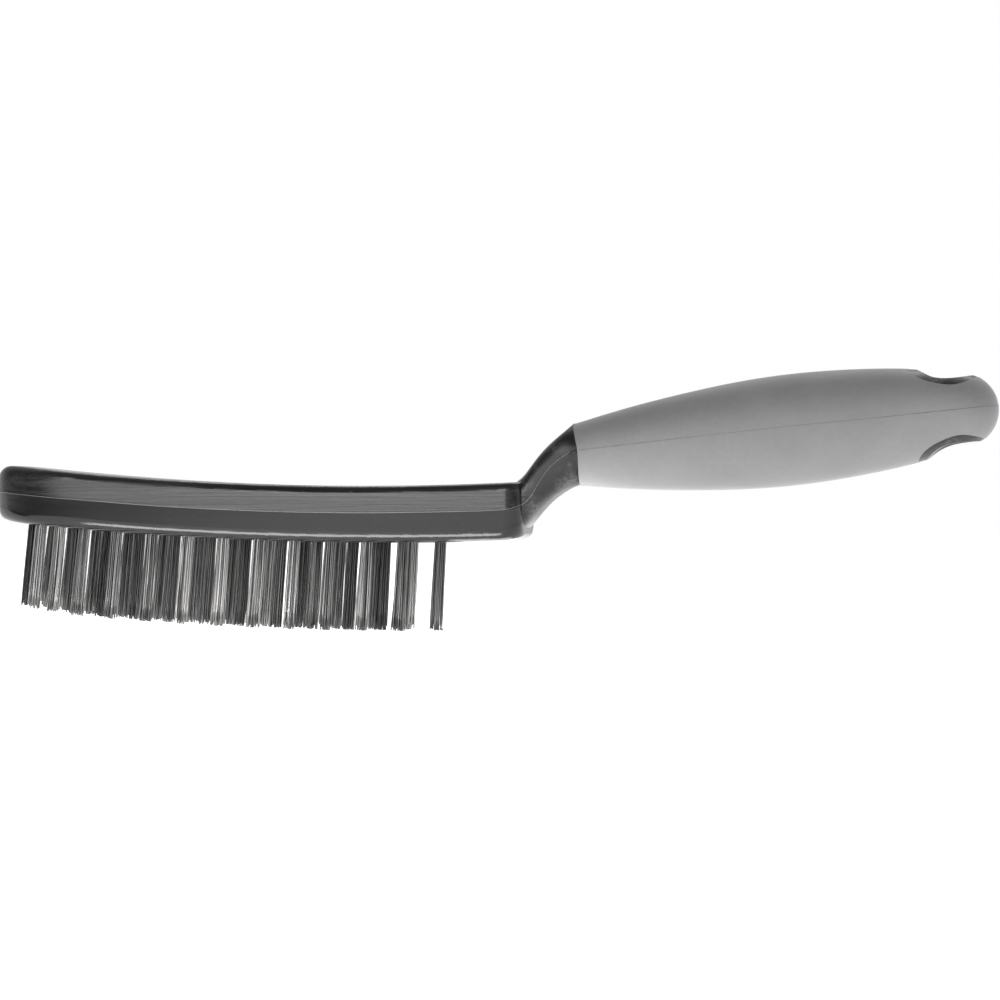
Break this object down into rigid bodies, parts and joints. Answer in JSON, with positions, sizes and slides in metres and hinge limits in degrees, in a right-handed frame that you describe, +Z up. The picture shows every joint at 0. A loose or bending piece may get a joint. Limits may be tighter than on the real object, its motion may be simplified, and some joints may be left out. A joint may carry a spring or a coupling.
{
  "type": "wire brush",
  "caption": "Hand wire scratch brush: long slightly curved plastic head with staggered rows of steel wire tufts, a cranked neck and a fat two-part handle with a soft grip and a hang hole.",
  "frame": {"origin": "middle of the overall length and width, on the plane of the lowest wire tips", "axes": "+X from the nose of the head to the end of the handle, +Y across the brush, +Z up, with the wires pointing down"},
  "size_m": [0.29, 0.0284, 0.0736],
  "materials": {
    "core_plastic": "black moulded plastic, satin to glossy with flow marks",
    "grip_rubber": "matte mid-grey soft over-moulding",
    "tuft_wire": "drawn steel wire, folded, with bright cut ends",
    "anchor_steel": "plain flat steel wire"
  },
  "bodies": {
    "root": {"brush_body": "core_plastic", "soft_grip": "grip_rubber", "tuft_left_01": "tuft_wire", "tuft_left_02": "tuft_wire", "tuft_left_03": "tuft_wire", "tuft_left_04": "tuft_wire", "tuft_left_05": "tuft_wire", "tuft_left_06": "tuft_wire", "tuft_left_07": "tuft_wire", "tuft_left_08": "tuft_wire", "tuft_left_09": "tuft_wire", "tuft_left_10": "tuft_wire", "tuft_left_11": "tuft_wire", "tuft_left_12": "tuft_wire", "tuft_middle_01": "tuft_wire", "tuft_middle_02": "tuft_wire", "tuft_middle_03": "tuft_wire", "tuft_middle_04": "tuft_wire", "tuft_middle_05": "tuft_wire", "tuft_middle_06": "tuft_wire", "tuft_middle_07": "tuft_wire", "tuft_middle_08": "tuft_wire", "tuft_middle_09": "tuft_wire", "tuft_middle_10": "tuft_wire", "tuft_middle_11": "tuft_wire", "tuft_middle_12": "tuft_wire", "tuft_right_01": "tuft_wire", "tuft_right_02": "tuft_wire", "tuft_right_03": "tuft_wire", "tuft_right_04": "tuft_wire", "tuft_right_05": "tuft_wire", "tuft_right_06": "tuft_wire", "tuft_right_07": "tuft_wire", "tuft_right_08": "tuft_wire", "tuft_right_09": "tuft_wire", "tuft_right_10": "tuft_wire", "tuft_right_11": "tuft_wire", "tuft_right_12": "tuft_wire", "anchors_left": "anchor_steel", "anchors_middle": "anchor_steel", "anchors_right": "anchor_steel"}
  },
  "joints": []
}
